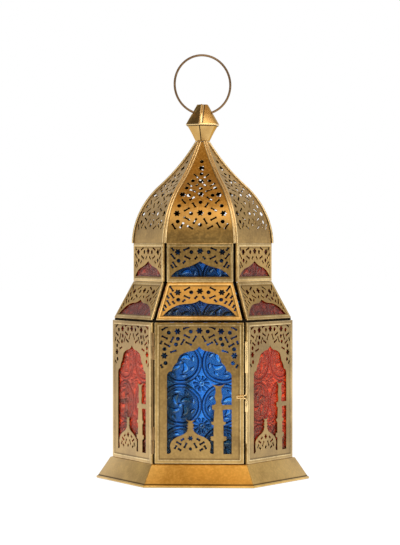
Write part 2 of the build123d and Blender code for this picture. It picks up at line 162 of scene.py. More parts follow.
def brass(name, dark, bright, rough=0.34, rim=None, hem=False, grain=0.4, coat=0.45, inside=True):
    """Antique brass under clear lacquer: mottled patina, fine speckle, sheet that is not quite flat.

    A sheet's inside is painted in shade, and a wire has no inside. A rim is the half width at the foot, the slope
    of the sides, the length, the width of a panel's rim at the sides, its share of that at the ends,
    and the apothem, level and lean of the face: it gets worn edges with a painted highlight on them and on its
    crest, a painted shade line along its inner edge, and returns painted darker into the seams, as shade. A hem is
    the skirt's rolled one: it gets a painted highlight, painted shade in the crease above it and under it, and dark
    seams at the corners.
    """
    material, here, place = new_material(name)
    x, y, z = place.parts()
    face_x, face_y, _ = here.make("ShaderNodeTexCoord", output="Normal").parts()
    radius = length_of(x, y)
    # Painted shade on the sheet's inside: faces that look inwards are darkened
    painted_shade = 1 - ((face_x * x + face_y * y) / radius).between(-0.45, -0.05)
    clouds = noise(place, 24).between(0.3, 0.7)
    speckle = noise(place, 1.6, 2).between(0.35, 0.75)
    # Random mottle of the patina, to which painted highlights are added on rims and hems
    mottle_and_highlight = clouds * 0.6 + speckle * grain
    # Mask of painted shade, to which rims and hems add more painted shade and the hem's dark seams
    painted_shade_and_seams = painted_shade * float(inside)
    sixths = y.math("ARCTAN2", x) * (3 / pi) + 6
    if rim:
        half, slope, length, width, share, face, foot, lean = rim
        across, along, _ = here.make("ShaderNodeUVMap", {"uv_map": "sheet"}).parts()
        across, along = across.size() * sheet_unit, along * sheet_unit
        ends = along.least(length - along) * share
        margin = ends.least(half - slope * along - across)
        # Painted shade in a line along the rim's inner edge
        groove = margin.between(width - 0.15, width + 0.05) * (1 - margin.between(width + 0.35, width + 1.1))
        crest = margin.between(width - 1.1, width - 0.7) * (1 - margin.between(width - 0.4, width - 0.15))
        # Worn edges, with painted highlight on the rim's outer edge and crest
        wear_and_highlight = (1 - margin.between(0.2, 0.8)) * 0.8 + crest
        beside = (sixths.math("FRACT") - 0.5) * (pi / 3)
        # The returns are painted darker the deeper they lie, as shade into the seams
        depth = face - (z / mm - foot) * tan(lean) - radius / mm * beside.math("COSINE")
        painted_shade_and_seams = painted_shade_and_seams.most(groove * 0.4).most(depth.between(1.3, 2.1))
        # Painted highlight on the rim
        mottle_and_highlight = mottle_and_highlight + (1 - margin.between(width - 0.3, width)) * 0.2
        bright = wear_and_highlight.blend(bright, wear_and_highlight_tone)
    if hem:
        seam = (sixths + 0.5).math("FRACT") - 0.5
        gap = seam.size() * (pi / 3) * radius
        # The corners are dark seams; the crease above the hem and its underside are painted shade
        corner = 1 - gap.between(0.1 * mm, 0.4 * mm)
        crease = z.between(1.75 * mm, 2.0 * mm) * (1 - z.between(2.2 * mm, 3.0 * mm))
        underside = 1 - z.between(0.2 * mm, 0.9 * mm)
        painted_shade_and_seams = painted_shade_and_seams.most(corner * 0.35).most(crease * 0.85).most(underside * 0.55)
        # Painted highlight along the hem
        mottle_and_highlight = mottle_and_highlight + (1 - z.between(1.6 * mm, 1.9 * mm)) * 0.3
    tone = painted_shade_and_seams.blend(mottle_and_highlight.blend(dark, bright), shade_and_seam_tone)
    dents = noise(place, 16, 1) + noise(place, 0.9, 2) * 0.04
    bump = here.make("ShaderNodeBump", None, {"Strength": 0.5 * grain, "Distance": 0.0012, "Height": dents})
    finish_material(
        here,
        {
            "Base Color": tone,
            "Metallic": 1.0,
            "Roughness": rough - clouds * 0.06 + speckle * (0.25 * grain) + painted_shade_and_seams * 0.25,
            "Specular Tint": (0.93, 0.84, 0.68, 1) if coat else (0.6, 0.45, 0.26, 1),
            "Coat Weight": coat - painted_shade_and_seams * coat,
            "Coat Roughness": 0.25,
            "Normal": bump,
        },
    )
    return material


# Pattern of the pressed glass, in millimetres: a lattice of medallions with a daisy between each four.
# The materials colour it, and pressed_height presses the same forms into the panes.
pitch, lattice_x, lattice_z = 28.9, 1.7, 41.0
# Slow waves that bend the lattice a little
wave_across, wave_up, wave_reach = 0.33, 0.27, 0.3
# The share of a ridge's width that is its flat top
ridge_top = 0.35
ring_reach, ring_width = 13.2, 1.0
leaf_count, leaf_twist, leaf_cut, leaf_foot, leaf_tip = 4, 0.6, (0.1, 0.6), (1.8, 2.6), (6.8, 8.2)
bud_count, bud_twist, bud_cut, bud_reach, bud_width = 8, -0.9, (0.2, 0.7), 9.3, 1.2
ray_count, ray_cut, ray_foot, ray_tip = 10, (-0.3, 0.4), (1.9, 2.4), (4.7, 5.7)
heart_edge = (0.7, 1.4)
eye_reach, eye_width = 1.2, 0.6
# What only the colour shows, as painted shade: lines beside the ring, dull ring and rays, ground of the medallions; and
# stipple, as painted highlight
inner_line, outer_line = (12.0, 0.75), (14.4, 0.6)
dull_width, ground_edge = 1.7, (11.8, 12.6)
stipple_rate = 4.2
# How far aside the pattern is read again to tell its lit flanks from its shaded ones
look_aside = 0.55
clear_index, dense_index = 1.22, 1.33


def ridge(reach, radius, width):
    """1 along a circle of this radius, and 0 beyond the width on each side."""
    return 1 - (reach - radius).size().between(width * ridge_top, width)


def pressed_glass(name, light, middle, dark, turn, index=clear_index):
    """Coloured glass with a pressed lattice of flower medallions and daisies between them."""
    material, here, place = new_material(name)
    turned = here.make("ShaderNodeMapping", {"vector_type": "POINT"}, {0: place, 2: (0, 0, -turn)})
    side_x, _, side_z = turned.parts()
    sway, heave = side_x * (wave_across / mm), side_z * (wave_up / mm)
    waves = sway.math("SINE") * heave.math("SINE") * wave_reach
    across, upward = side_x / mm + waves, side_z / mm + waves
    # Whole cells that keep every count of cells above 0
    cells = 20

    def relief(shift):
        """The pattern, read a little to the side: relief, ground of the medallions, lines, dull parts."""
        columns = (across + shift - lattice_x) / pitch + cells
        rows_up = (upward - shift - lattice_z) / pitch + cells
        x, y = (columns.math("FRACT") - 0.5) * pitch, (rows_up.math("FRACT") - 0.5) * pitch
        reach, angle = length_of(x, y), y.math("ARCTAN2", x)
        gap_x, gap_y = pitch / 2 - x.size(), pitch / 2 - y.size()
        gap, gap_angle = length_of(gap_x, gap_y), gap_y.math("ARCTAN2", gap_x)
        leaves = (angle * leaf_count + reach * leaf_twist).math("COSINE").between(*leaf_cut)
        leaves = leaves * reach.between(*leaf_foot) * (1 - reach.between(*leaf_tip))
        buds = (angle * bud_count + reach * bud_twist).math("COSINE").between(*bud_cut)
        buds = buds * ridge(reach, bud_reach, bud_width)
        daisy = (gap_angle * ray_count).math("COSINE").between(*ray_cut)
        daisy = daisy * (1 - gap.between(*ray_tip)) * gap.between(*ray_foot)
        heart, eye = 1 - reach.between(*heart_edge), ridge(gap, eye_reach, eye_width)
        high = ridge(reach, ring_reach, ring_width)
        for form in (leaves, buds, heart, daisy, eye):
            high = high.most(form)
        ground = 1 - reach.between(*ground_edge)
        lines = ridge(reach, *inner_line).most(ridge(reach, *outer_line))
        dull = ridge(reach, ring_reach, dull_width).most(daisy * 1.3)
        return high, ground, lines, dull

    high, ground, lines, dull = relief(0.0)
    slope = high - relief(look_aside)[0]
    dots = (across * stipple_rate).math("SINE") * (upward * stipple_rate).math("SINE")
    stipple = dots.between(0.1, 0.7) * (1 - high)
    edge = (high * (1 - high) * 4).between(0.2, 0.8)
    # Noise that paints glints into the lit tone and flecks of shade into the shaded one
    grain = noise(turned, 1.5, 2)
    lit = slope.between(0.1, 0.6) * (1 - dull * 0.75) + stipple * 0.42 + grain.between(0.55, 0.7) * 0.35
    shaded = (0 - slope).between(0.05, 0.5) + (1 - grain.between(0.3, 0.45)) * 0.5
    shaded = shaded.most(edge * 0.8).most(ground * (1 - high) * 0.58 - stipple * 0.3)
    # Painted shade at the head of each row of panes, behind the fret holes
    height = side_z / mm
    painted_shade = height.between(91, 99) * (1 - height.between(113, 114))
    painted_shade = painted_shade + height.between(126, 130) * (1 - height.between(138, 139)) + height.between(151, 156)
    painted_shade = painted_shade * (0.45 + noise(turned, 5, 1).between(0.35, 0.65) * 0.5)
    shaded = shaded.most(lines * 0.85).most(dull * 0.4).most(painted_shade)
    tone = shaded.blend(lit.blend(middle, light), dark)
    bump = here.make("ShaderNodeBump", None, {"Strength": 0.35, "Distance": 0.0005, "Height": stipple * 0.2})
    finish_material(
        here,
        {
            "Base Color": tone,
            "Roughness": 0.14,
            "IOR": index,
            "Specular IOR Level": 0.06,
            "Transmission Weight": 0.9,
            "Normal": bump,
        },
    )
    return material


# Sizes of the sheets, in millimetres
body_radius, body_foot, body_length = 64.2, 15.2, 96.3
shoulder_foot, shoulder_head, shoulder_height = 63.2, 49.7, 25.1
collar_length = 26.6
shoulder_level, collar_level = 113.7, 138.8
return_depth, seam_gap, door_gap = 2.9, 0.2, 0.4


def apothem(radius):
    return radius * cos(radians(30))


def setback(level):
    """How far a panel's side stands back from the corner, for returns that lean by this factor."""
    return (return_depth * level + seam_gap) * tan(radians(30))


shoulder_run = apothem(shoulder_foot - shoulder_head)
shoulder_lean = atan2(shoulder_run, shoulder_height)
shoulder_length = hypot(shoulder_run, shoulder_height) + 0.5
body_half = body_radius / 2 - setback(1)
collar_half = shoulder_head / 2 - setback(1) - 0.4
shoulder_half = shoulder_foot / 2 - setback(1 / cos(shoulder_lean)) - 0.3
shoulder_slope = (shoulder_foot - shoulder_head) / 2 / (shoulder_length - 0.5)
body_rim, upper_rim, shoulder_rim, collar_rim = 2.9, 2.5, 2.1, 1.8

patina, lustre = (0.31, 0.18, 0.045), (0.6, 0.38, 0.115)
# Paler tones for the small parts, painted lighter as highlight
pale_tones = (0.72, 0.52, 0.24), (0.92, 0.71, 0.38)


def panel_brass(name, dark, bright):
    rim = (body_half, 0, body_length, body_rim, 1, apothem(body_radius), 0, 0)
    return brass(name, dark, bright, coat=0.65, rim=rim)


body_brass = panel_brass("body_brass", (0.285, 0.17, 0.047), (0.55, 0.355, 0.115))
# The two panels beside the door are toned to the light of the photograph
body_finishes = {
    "front_left": panel_brass("duller_body_brass", (0.25, 0.15, 0.047), (0.48, 0.315, 0.112)),
    "front_right": panel_brass("darker_body_brass", (0.21, 0.13, 0.04), (0.41, 0.27, 0.09)),
}
shoulder_brass = brass(
    "shoulder_brass", patina, lustre,
    rim=(
        shoulder_half, shoulder_slope, shoulder_length, shoulder_rim, shoulder_rim / upper_rim,
        apothem(shoulder_foot), shoulder_level, shoulder_lean,
    ),
)
collar_brass = brass(
    "collar_brass", patina, lustre, coat=0.65,
    rim=(collar_half, 0, collar_length, collar_rim, collar_rim / upper_rim, apothem(shoulder_head), 0, 0),
)
dome_brass = brass("dome_brass", patina, lustre, coat=0.65)
finial_brass = brass("finial_brass", (0.42, 0.26, 0.09), (0.76, 0.53, 0.23), grain=0.05, coat=0)
skirt_brass = brass("skirt_brass", (0.45, 0.265, 0.058), (0.82, 0.53, 0.15), hem=True, grain=0.3, coat=0.6)
# Paler copies of the brass for the beads, folds, lips, latch, its tubes and the candle cup, painted lighter as
# highlight
pale_brass = brass("pale_brass", *pale_tones, 0.24, grain=0.06)
bead_brass = brass("bead_brass", (0.6, 0.43, 0.2), (0.86, 0.66, 0.36), 0.36, grain=0.04, coat=0.3)
wire_brass = brass("wire_brass", (0.13, 0.075, 0.035), (0.24, 0.15, 0.07), 0.36, grain=0.05, inside=False)
latch_brass = brass("latch_brass", *pale_tones, 0.24, grain=0.06, inside=False)
pin_brass = brass("pin_brass", (0.16, 0.09, 0.03), (0.32, 0.19, 0.07), grain=0.05)
# Glass where it is lit, between and in the shade
blue_shades = (0.66, 0.88, 1.0), (0.075, 0.45, 1.0), (0.005, 0.02, 0.085)
pale_blue_shades = (0.6, 0.84, 1.0), (0.15, 0.52, 1.0), (0.06, 0.23, 0.62)
# The shoulder and collar panes take darker copies of the glass, painted in shade
deep_blue_shades = (0.6, 0.82, 1.0), (0.016, 0.22, 0.62), (0.002, 0.008, 0.022)
pale_red_shades = (1.0, 0.66, 0.44), (1.0, 0.36, 0.16), (0.8, 0.12, 0.05)
deep_red_shades = (0.9, 0.35, 0.2), (0.75, 0.15, 0.07), (0.14, 0.014, 0.01)
red_shades = (1.0, 0.5, 0.3), (1.0, 0.2, 0.05), (0.2, 0.012, 0.006)

# Near-black brass, painted in shade, for the hidden pieces and those in the gaps, mottled by noise
shade_black_brass, here, place = new_material("shade_black_brass")
mottled_shade = noise(place, 6).between(0.35, 0.7).blend((0.004, 0.003, 0.002), (0.014, 0.01, 0.006))
finish_material(here, {"Base Color": mottled_shade, "Roughness": 0.9, "Specular IOR Level": 0.1})


# Pieces


def put(mesh, name, material, body, node):
    """A finished piece: in place, riding on a body and standing for a CAD node."""
    piece = bpy.data.objects.new(name, mesh)
    scene.collection.objects.link(piece)
    for finish in material if isinstance(material, tuple) else (material,):
        mesh.materials.append(finish)
    mesh.shade_smooth()
    mesh.set_sharp_from_angle(angle=radians(35))
    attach(piece, body)
    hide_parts(node)


def finished(shape, name):
    mesh = bpy.data.meshes.new(name)
    shape.to_mesh(mesh)
    shape.free()
    return mesh


def mesh_of(curve):
    holder = bpy.data.objects.new(curve.name, curve)
    scene.collection.objects.link(holder)
    mesh = bpy.data.meshes.new_from_object(holder)
    bpy.data.objects.remove(holder)
    bpy.data.curves.remove(curve)
    return mesh


def cut_sheet(loops, thickness, edge, rounds=0):
    """A flat sheet with the first loop as its outline and the others as holes, its face at 0."""
    curve = bpy.data.curves.new("cut", "CURVE")
    curve.dimensions = "2D"
    curve.fill_mode = "BOTH"
    for loop in loops:
        spline = curve.splines.new("POLY")
        spline.points.add(len(loop) - 1)
        for point, (x, y) in zip(spline.points, loop):
            point.co = (x, y, 0, 1)
        spline.use_cyclic_u = True
    curve.extrude = thickness / 2 - edge
    curve.bevel_depth = edge
    curve.bevel_resolution = rounds
    curve.offset = -edge
    mesh = mesh_of(curve)
    mesh.transform(Matrix.Translation((0, 0, -thickness / 2)))
    return mesh


def joined(name, *meshes, finishes=(), near=5e-7):
    """One mesh of several, with its doubles merged and its faces turned outwards.

    The finishes say which of the piece's materials each mesh takes; without them it is the first.
    """
    shape = bmesh.new()
    for count, mesh in enumerate(meshes):
        before = len(shape.faces)
        shape.from_mesh(mesh)
        bpy.data.meshes.remove(mesh)
        shape.faces.ensure_lookup_table()
        for face in shape.faces[before:]:
            face.material_index = finishes[count] if finishes else 0
    bmesh.ops.remove_doubles(shape, verts=shape.verts, dist=near)
    bmesh.ops.recalc_face_normals(shape, faces=shape.faces)
    return finished(shape, name)


def around(mesh, count):
    """A copy of a front mesh on another side."""
    copy = mesh.copy()
    copy.transform(Matrix.Rotation(radians(60 * count), 4, "Z"))
    return copy


def tube(points, radius, closed=False, smooth=False):
    """A round wire or bead along points, in metres."""
    curve = bpy.data.curves.new("wire", "CURVE")
    curve.dimensions = "3D"
    curve.bevel_depth = radius
    curve.bevel_resolution = 5
    curve.use_fill_caps = not closed
    spline = curve.splines.new("NURBS" if smooth else "POLY")
    spline.points.add(len(points) - 1)
    for point, place in zip(spline.points, points):
        point.co = (*place, 1)
    spline.use_cyclic_u = closed
    if smooth:
        spline.order_u = 3
        spline.use_endpoint_u = True
        spline.resolution_u = 8
    return mesh_of(curve)


# Fret holes


def turned_loop(points, x, y, lean):
    turn = cmath.rect(1, radians(lean))
    placed = [complex(*point) * turn + complex(x, y) for point in points]
    return [(point.real, point.imag) for point in placed]


def star(x, y, radius=2.45):
    """A hole with six rounded points."""
    points = [cmath.rect(radius * (0.8 + 0.2 * cos(pi * count / 2)), pi * count / 12) for count in range(24)]
    return [(x + point.real, y + point.imag) for point in points]


def dot(x, y, radius=1.4):
    return [(x + radius * cos(pi * count / 7), y + radius * sin(pi * count / 7)) for count in range(14)]


def bone(x, y, lean, length=4.7):
    """A slot with swollen ends."""
    half = length / 2
    end = [(half - 1.1, 0.56), (half - 0.5, 0.86), (half, 0.56)]
    right = end + [(across, -up) for across, up in reversed(end)]
    left = [(-across, -up) for across, up in right]
    return turned_loop(right + left, x, y, lean)


short_bone = 2.7


def fret(stars, dots, bones, shorts):
    """Holes of a panel: places on the middle line come once, the others left and right."""
    holes = []
    for hand in (-1, 1):
        holes += [star(hand * x, y) for x, y in stars if x or hand > 0]
        holes += [dot(hand * x, y) for x, y in dots if x or hand > 0]
        holes += [bone(hand * x, y, -hand * lean) for x, y, lean in bones]
        holes += [bone(hand * x, y, -hand * lean, short_bone) for x, y, lean in shorts]
    return holes


def foil(start, end, bulge, steps=7):
    """Points of an arc from start to just before end; the bulge is a share of its length."""
    first, last = complex(*start), complex(*end)
    chord = last - first
    points = []
    for count in range(steps):
        share = count / steps
        lift = 4 * bulge * share * (1 - share)
        point = first + chord * share - 1j * chord * lift
        points.append((point.real, point.imag))
    return points


def arch(corners, bulges):
    """A window: the right half from the sill up to the tip, mirrored."""
    right = []
    for start, end, bulge in zip(corners, corners[1:], bulges):
        right += foil(start, end, bulge) if bulge else [start]
    left = [(-x, y) for x, y in reversed(right)]
    return right + [corners[-1]] + left


# Panels
sheet_thick, sheet_sunk = 0.45, 0.25
rim_thick, rim_round = 1.2, 0.38
return_thick, return_top = 0.6, 0.9


def tray(half_foot, half_head, length, rim, side_rim, holes, origin_y, foot, lean=0, depth=return_depth):
    """A pressed panel: raised rim, folded returns and the sunk fretted sheet, as the front one."""

    def outline(margin, beside=None):
        slope = (half_foot - half_head) / length
        beside = margin if beside is None else beside
        low, high = half_foot - beside - slope * margin, half_head - beside + slope * margin
        return [(-low, margin), (low, margin), (high, length - margin), (-high, length - margin)]

    sheet = cut_sheet([outline(0.5)] + holes, sheet_thick, 0.12)
    sheet.transform(Matrix.Translation((0, 0, -sheet_sunk)))
    frame_rim = cut_sheet([outline(0), outline(rim, side_rim)], rim_thick, rim_round, 2)
    returns = cut_sheet([outline(0.02), outline(return_thick)], depth - return_top, 0.1)
    returns.transform(Matrix.Translation((0, 0, -return_top)))
    mesh = joined("tray", sheet, frame_rim, returns, near=0.0005)
    flat = mesh.uv_layers.new(name="sheet")
    for loop in mesh.loops:
        corner = mesh.vertices[loop.vertex_index].co
        flat.data[loop.index].uv = (corner.x / sheet_unit, corner.y / sheet_unit)
    upright = Matrix(
        ((1, 0, 0, 0), (0, sin(lean), -cos(lean), origin_y), (0, cos(lean), sin(lean), foot), (0, 0, 0, 1))
    )
    mesh.transform(Matrix.Scale(mm, 4) @ upright)
    return mesh


# The body window, with a mosque dome and a minaret left standing in it
window_half = 22.0
window_foot = 6.7
body_arch = arch(
    [
        (window_half, window_foot), (window_half, 60.1), (18.6, 62.9), (15.3, 68.5), (13.0, 73.8), (4.6, 76.6),
        (0, 79.7),
    ],
    (0, 0.19, 0.11, 0.05, 0.06, -0.1),
)
mosque_middle = -6.0
mosque_half = [
    (14.6, 0), (13.6, 0.5), (13.2, 1.4), (13.5, 3.0), (13.9, 5.0), (13.8, 6.4), (13.1, 8.2), (11.5, 10.0), (9.0, 11.5),
    (6.3, 12.6), (4.2, 13.6), (2.7, 14.9), (2.0, 15.9), (2.3, 16.5), (1.4, 17.2), (2.4, 17.9), (2.4, 18.4), (1.4, 19.1),
    (2.3, 19.8), (2.3, 20.3), (1.3, 20.9), (1.5, 21.6), (3.4, 23.4), (1.6, 22.6), (0, 22.4),
]
minaret_middle = 13.1
gallery_low, gallery_high = 30, 33.5
minaret_half = [
    (3.3, 0), (3.3, 8.6), (5.0, 9.2), (5.6, 9.8), (5.1, 10.5), (5.6, 11.2), (5.2, 11.9), (3.4, 12.1), (3.3, 19.4),
    (4.6, 20.1), (5.1, 21.6), (3.3, 22.1), (2.8, 29.8), (4.4, 30.2), (4.4, 33.2), (2.7, 33.4), (1.8, 34.4), (1.9, 36.0),
    (2.6, 38.4), (2.6, 39.6), (2.0, 41.6), (1.95, 44.4), (2.4, 45.4), (3.3, 46.2), (4.7, 47.7), (2.5, 46.6), (0, 46.2),
]


def silhouette(half, middle, foot):
    """The right half from the sill up, mirrored, from the left foot to the right one."""
    right = [(middle + x, foot + y) for x, y in half]
    left = [(2 * middle - x, y) for x, y in right[:-1]]
    return left + right[::-1]


def body_holes(length):
    """Everything cut from a body panel, with places measured down from its top."""
    top = length + 1.1
    holes = fret(
        [(0, top - 6.2), (14.75, top - 6.7), (23.8, top - 23.2)],
        [
            (5.8, top - 6.75), (20.75, top - 7.6), (14.5, top - 11.7), (15.75, top - 15.6), (23.6, top - 18.75),
            (22.9, top - 28.2),
        ],
        [
            (23.6, top - 4.7, 30), (8.9, top - 4.2, 22), (23.5, top - 10.8, -25), (18.5, top - 12.3, 62),
            (8.4, top - 10, -27), (3.2, top - 11.7, 60), (21.8, top - 16, -30), (11.3, top - 13.9, 60),
            (7.2, top - 14.9, -25), (17.6, top - 20.3, 17),
        ],
        [(26, top - 14.3, 65), (25.6, top - 30.4, -60)],
    )
    mosque = silhouette(mosque_half, mosque_middle, window_foot)
    minaret = silhouette(minaret_half, minaret_middle, window_foot)
    # The arm of the gallery meets the frame, so the window to the right of the minaret is two openings
    arm = [
        count for count, (x, y) in enumerate(minaret)
        if x > minaret_middle and gallery_low < y - window_foot < gallery_high
    ]
    above, below = minaret[: arm[0] + 1], minaret[arm[-1]:]
    arm_high, arm_low = minaret[arm[0]][1], minaret[arm[-1]][1]
    window = mosque + above + [(window_half, arm_high)] + body_arch[1:-1] + [(-window_half, window_foot)]
    corner = below + [(window_half, window_foot), (window_half, arm_low)]
    holes += [window, corner, star(mosque_middle, window_foot + 10.6, 1.9), dot(mosque_middle, window_foot + 3.3, 1.1)]
    for hand in (-1, 1):
        for x, y, lean, size in (
            (5.4, 9.7, 35, 2.7), (7.9, 7.2, -28, 4.0), (3.4, 5.7, 62, 4.0), (10.1, 4.5, 58, 2.9), (7.4, 2.9, -35, 2.7)
        ):
            holes.append(bone(mosque_middle + hand * x, window_foot + y, -hand * lean, size))
    return holes


body_tray = tray(
    body_half, body_half, body_length, body_rim, body_rim, body_holes(body_length), -apothem(body_radius), body_foot
)
for count, side in enumerate(sides[1:], start=1):
    finish = body_finishes.get(side, body_brass)
    put(around(body_tray, count), f"fretted_body_panel_{side}", finish, "frame", f"body_panel_{side}")
door_length = body_length - 2 * door_gap
door_tray = tray(
    body_half, body_half, door_length + 0.3, body_rim, body_rim, body_holes(door_length), -apothem(body_radius),
    body_foot + door_gap, 0, return_depth - 0.2,
)
put(door_tray, "fretted_door_panel", body_brass, "door", "door_panel")

shoulder_arch = arch([(24.9, 3.1), (7.7, 12.1), (0, 14.9)], (0.13, -0.08))
shoulder_fret = fret(
    [(0, 21.5), (15.0, 20.65)],
    [(5.9, 20.75), (14.6, 15.2)],
    [(19.4, 23.4, -58), (8.8, 23.3, 30), (18.9, 18.2, -55), (8.7, 17.2, -25), (21.2, 12.85, -60)],
    [(21.7, 17.2, -55), (17.8, 13.15, -50), (10.8, 14.45, 45), (2.6, 16.85, 50), (23.3, 10.3, -60), (24.5, 8.0, -60)],
)
shoulder_tray = tray(
    shoulder_half, shoulder_half - shoulder_slope * shoulder_length, shoulder_length, upper_rim, shoulder_rim,
    [shoulder_arch] + shoulder_fret, -apothem(shoulder_foot) - 0.2, shoulder_level - 0.45, shoulder_lean, 3.4,
)
collar_arch = arch([(20.3, 3.5), (11.0, 9.7), (0, 14.2)], (0.09, -0.05))
collar_fret = fret(
    [(0, 21.2), (15.2, 20.5)],
    [(5.9, 20.5), (14.7, 14.6)],
    [(9.3, 22.6, 22), (8.7, 16.8, -25), (18.6, 17.6, -52), (17.5, 12.0, -55)],
    [(11.0, 13.6, 50), (2.75, 16.55, 50), (18.7, 22.4, -50), (19.2, 10.6, -60)],
)
collar_tray = tray(
    collar_half, collar_half, collar_length, upper_rim, collar_rim, [collar_arch] + collar_fret,
    -apothem(shoulder_head), collar_level, 0, 3.6,
)
for count, side in enumerate(sides):
    for row, panel, finish in (("shoulder", shoulder_tray, shoulder_brass), ("collar", collar_tray, collar_brass)):
        put(around(panel, count), f"fretted_{row}_panel_{side}", finish, "frame", f"{row}_panel_{side}")


# Dome petals: cut flat, then bent along the ogee


def arc(start, way, end):
    """An arc that leaves start in this direction: its point at a share, its length and its last direction."""
    swing = cmath.phase((end - start) / way)
    middle = start + 1j * way * abs(end - start) / (2 * sin(swing))
    spread = start - middle
    return (
        lambda share: middle + spread * cmath.exp(2j * swing * share), abs(2 * swing * spread),
        way * cmath.exp(2j * swing),
    )


dome_level = 165.4
dome_foot, dome_turn = complex(apothem(49.9), 0), complex(apothem(30.79), 40.2)
dome_neck = complex(apothem(5.1), 71.4)
lower, lower_length, turning = arc(dome_foot, cmath.exp(1j * radians(91)), dome_turn)
upper, upper_length, _ = arc(dome_turn, turning, dome_neck)
dome_length = lower_length + upper_length


def ogee(run):
    """The outer face of a petal's middle line at this distance from the foot: radius and height."""
    if run < lower_length:
        return lower(run / lower_length)
    return upper((run - lower_length) / upper_length)


def run_at(height):
    """How far up the ogee a height lies."""
    low, high = 0.0, dome_length
    for _ in range(30):
        middle = (low + high) / 2
        if ogee(middle).imag < height:
            low = middle
        else:
            high = middle
    return low


def petal_half(run, margin):
    return ogee(run).real * tan(radians(30)) - margin


def bent(across, run, lift):
    """A point of the flat petal, bent into place, in metres."""
    here = ogee(run)
    ahead = ogee(min(run + 0.05, dome_length)) - ogee(max(run - 0.05, 0))
    out = -1j * ahead / abs(ahead)
    place = here + lift * out
    return Vector((across * mm, -place.real * mm, (dome_level + place.imag) * mm))


petal_stars = [(0, 21.1), (16.0, 20.7), (0, 34.3), (12.5, 34.0), (0, 43.4), (0, 52.6)]
petal_dots = [
    (0, 12.7), (15.4, 15.0), (6.35, 20.6), (14.6, 26.0), (0, 28.5), (8.2, 33.4), (9.9, 38.6), (0, 38.1), (5.7, 43.6),
    (0, 48.4), (0, 57.2),
]
petal_bones = [
    (18.1, 11.65, -60), (12.5, 12.5, 58), (6.9, 11.0, -30), (3.55, 15.3, 60), (9.15, 17.0, -28), (9.25, 23.4, 32),
    (4.4, 26.6, -58), (11.6, 29.05, -50), (5.9, 31.1, 40), (5.5, 36.8, -25), (7.85, 40.9, -40), (3.6, 47.1, -45),
]
petal_shorts = [(2.8, 40.6, 45)]
row_count = 36
rows = [dome_length * count / row_count for count in range(row_count + 1)]
petal_outline = [(petal_half(run, 0.5), run) for run in rows]
petal_outline += [(-across, run) for across, run in reversed(petal_outline)]
petal_sheet = 0.6
bead_radius, bead_margin, bead_sunk = 0.95, 1.25, 0.45
slip_start, back_slip = 34, 0.08


def bent_petal(slip):
    """A petal whose upper holes lie lower, by this share of their height above the start of the slip."""

    def placed(holes):
        return [(x, run_at(y) - slip * max(0, y - slip_start), *lean) for x, y, *lean in holes]

    holes = fret(placed(petal_stars), placed(petal_dots), placed(petal_bones), placed(petal_shorts))
    flat_petal = joined("flat_petal", cut_sheet([petal_outline] + holes, petal_sheet, 0.1), near=0.0005)
    shape = bmesh.new()
    shape.from_mesh(flat_petal)
    for run in rows[1:-1]:
        parts = shape.verts[:] + shape.edges[:] + shape.faces[:]
        bmesh.ops.bisect_plane(shape, geom=parts, dist=0.0005, plane_co=(0, run, 0), plane_no=(0, 1, 0))
    for vert in shape.verts:
        vert.co = bent(vert.co.x, vert.co.y, vert.co.z - petal_sheet)
    shape.to_mesh(flat_petal)
    shape.free()
    beads = []
    for hand in (-1, 1):
        edge = [bent(hand * petal_half(run, bead_margin), run, -bead_sunk) for run in rows]
        beads.append(tube(edge, bead_radius * mm))
    return joined("petal", flat_petal, *beads, finishes=(0, 1, 1))


# The slip of the back petals is a fit: it brings the specks seen through the dome nearer to the photograph
front_petal, back_petal = bent_petal(0.0), bent_petal(back_slip)
for count, side in enumerate(sides):
    petal = around(back_petal if side.startswith("back") else front_petal, count)
    put(petal, f"pierced_dome_petal_{side}", (dome_brass, bead_brass), "frame", f"dome_petal_{side}")


# Base skirt: a flared hexagon with a rolled hem


def spun(profile, steps, turn=0.0, closed=True):
    """A shape turned in steps from a profile of radius and height."""
    shape = bmesh.new()
    start = Matrix.Rotation(radians(turn), 4, "Z")
    points = [shape.verts.new(start @ Vector((radius * mm, 0, height * mm))) for radius, height in profile]
    ends = points[1:] + points[: int(closed)]
    edges = [shape.edges.new(pair) for pair in zip(points, ends)]
    bmesh.ops.spin(
        shape, geom=points + edges, cent=(0, 0, 0), axis=(0, 0, 1), angle=2 * pi, steps=steps, use_merge=True
    )
    bmesh.ops.remove_doubles(shape, verts=shape.verts, dist=1e-6)
    bmesh.ops.recalc_face_normals(shape, faces=shape.faces)
    return shape


def ease(shape, edge, angle):
    """Rounds the edges that turn by more than this angle."""
    ridges = [line for line in shape.edges if len(line.link_faces) == 2 and line.calc_face_angle() > radians(angle)]
    bmesh.ops.bevel(
        shape, geom=ridges, offset=edge * mm, offset_type="OFFSET", segments=2, profile=0.5,
        affect="EDGES", material=-1, clamp_overlap=True,
    )


def hexagon_shell(name, profile, turn, edge):
    """A hexagonal shell whose corners follow a closed profile of radius and height."""
    shape = spun(profile, len(sides), turn)
    ease(shape, edge, 20)
    return finished(shape, name)


hem_middle, hem_round = 74.1, 0.9
hem = [
    (hem_middle + hem_round * cos(radians(turn)), hem_round + hem_round * sin(radians(turn)))
    for turn in range(-180, 76, 30)
]
skirt_profile = hem + [
    (73.75, 2.1), (65.5, 14.2), (65.0, 14.9), (64.4, 15.2), (55.6, 15.2), (55.6, 14.4), (63.4, 14.4), (72.0, 2.4),
]
put(hexagon_shell("skirt", skirt_profile, 0, 0.2), "flared_base_skirt", skirt_brass, "frame", "base_skirt")


# Finial, ring, latch and hinge


